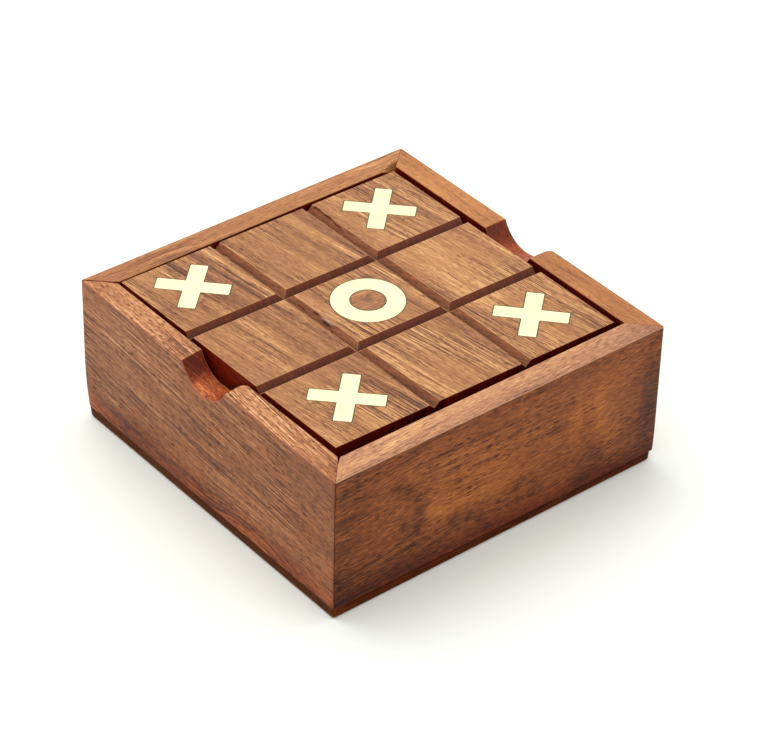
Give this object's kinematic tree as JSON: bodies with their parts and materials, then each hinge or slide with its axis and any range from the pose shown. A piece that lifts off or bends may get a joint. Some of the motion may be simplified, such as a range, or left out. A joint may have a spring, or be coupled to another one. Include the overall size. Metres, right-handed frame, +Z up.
{
  "type": "tic tac toe set",
  "caption": "Square wooden box with finger notches whose lift-out top is a grooved tic tac toe board with brass inlays, over a compartment of loose wooden noughts and crosses.",
  "frame": {"origin": "centre of the box's underside", "axes": "+Z up out of the box; +X and -X through the two notched walls; the board's grain runs along Y"},
  "size_m": [0.127, 0.127, 0.0508],
  "materials": {
    "box_wood": "satin varnish over dark rosewood",
    "base_wood": "satin varnish over dark rosewood",
    "ledge_wood": "bare sanded rosewood",
    "board_wood": "satin varnish over striped rosewood",
    "plug_wood": "satin varnish over reddish wood, its centre hole filled with dark filler",
    "brass": "polished flush with the wood",
    "nought_wood": "satin varnish over a lighter wood",
    "cross_wood": "satin varnish over dark rosewood"
  },
  "bodies": {
    "box": {"wall_front": "box_wood", "wall_back": "box_wood", "wall_left": "box_wood", "wall_right": "box_wood", "base_panel": "base_wood", "ledge_left": "ledge_wood", "ledge_right": "ledge_wood", "ledge_front": "ledge_wood", "ledge_back": "ledge_wood"},
    "board": {"game_board": "board_wood", "inlay_cross_left": "brass", "inlay_cross_back": "brass", "inlay_cross_right": "brass", "inlay_cross_front": "brass", "inlay_ring": "brass", "ring_plug": "plug_wood"},
    "nought_left_piece": {"nought_left": "nought_wood"},
    "cross_left_piece": {"cross_left": "cross_wood"},
    "nought_back_piece": {"nought_back": "nought_wood"},
    "cross_back_piece": {"cross_back": "cross_wood"},
    "nought_right_piece": {"nought_right": "nought_wood"},
    "cross_right_piece": {"cross_right": "cross_wood"},
    "nought_front_piece": {"nought_front": "nought_wood"},
    "cross_front_piece": {"cross_front": "cross_wood"},
    "nought_centre_piece": {"nought_centre": "nought_wood"},
    "cross_centre_piece": {"cross_centre": "cross_wood"}
  },
  "joints": [
    {"name": "board_lift", "type": "slide", "parent": "box", "child": "board", "axis": [0, 0, 1], "range_m": [0, 0.1]},
    {"name": "nought_left_lift", "type": "slide", "parent": "box", "child": "nought_left_piece", "axis": [0, 0, 1], "range_m": [0, 0.05]},
    {"name": "cross_left_lift", "type": "slide", "parent": "box", "child": "cross_left_piece", "axis": [0, 0, 1], "range_m": [0, 0.075]},
    {"name": "nought_back_lift", "type": "slide", "parent": "box", "child": "nought_back_piece", "axis": [0, 0, 1], "range_m": [0, 0.05]},
    {"name": "cross_back_lift", "type": "slide", "parent": "box", "child": "cross_back_piece", "axis": [0, 0, 1], "range_m": [0, 0.075]},
    {"name": "nought_right_lift", "type": "slide", "parent": "box", "child": "nought_right_piece", "axis": [0, 0, 1], "range_m": [0, 0.05]},
    {"name": "cross_right_lift", "type": "slide", "parent": "box", "child": "cross_right_piece", "axis": [0, 0, 1], "range_m": [0, 0.075]},
    {"name": "nought_front_lift", "type": "slide", "parent": "box", "child": "nought_front_piece", "axis": [0, 0, 1], "range_m": [0, 0.05]},
    {"name": "cross_front_lift", "type": "slide", "parent": "box", "child": "cross_front_piece", "axis": [0, 0, 1], "range_m": [0, 0.075]},
    {"name": "nought_centre_lift", "type": "slide", "parent": "box", "child": "nought_centre_piece", "axis": [0, 0, 1], "range_m": [0, 0.05]},
    {"name": "cross_centre_lift", "type": "slide", "parent": "box", "child": "cross_centre_piece", "axis": [0, 0, 1], "range_m": [0, 0.075]}
  ],
  "couplings": [
    {"joint": "nought_left_lift", "follows": "board_lift", "ratio": 0.5},
    {"joint": "cross_left_lift", "follows": "board_lift", "ratio": 0.75},
    {"joint": "nought_back_lift", "follows": "board_lift", "ratio": 0.5},
    {"joint": "cross_back_lift", "follows": "board_lift", "ratio": 0.75},
    {"joint": "nought_right_lift", "follows": "board_lift", "ratio": 0.5},
    {"joint": "cross_right_lift", "follows": "board_lift", "ratio": 0.75},
    {"joint": "nought_front_lift", "follows": "board_lift", "ratio": 0.5},
    {"joint": "cross_front_lift", "follows": "board_lift", "ratio": 0.75},
    {"joint": "nought_centre_lift", "follows": "board_lift", "ratio": 0.5},
    {"joint": "cross_centre_lift", "follows": "board_lift", "ratio": 0.75}
  ]
}
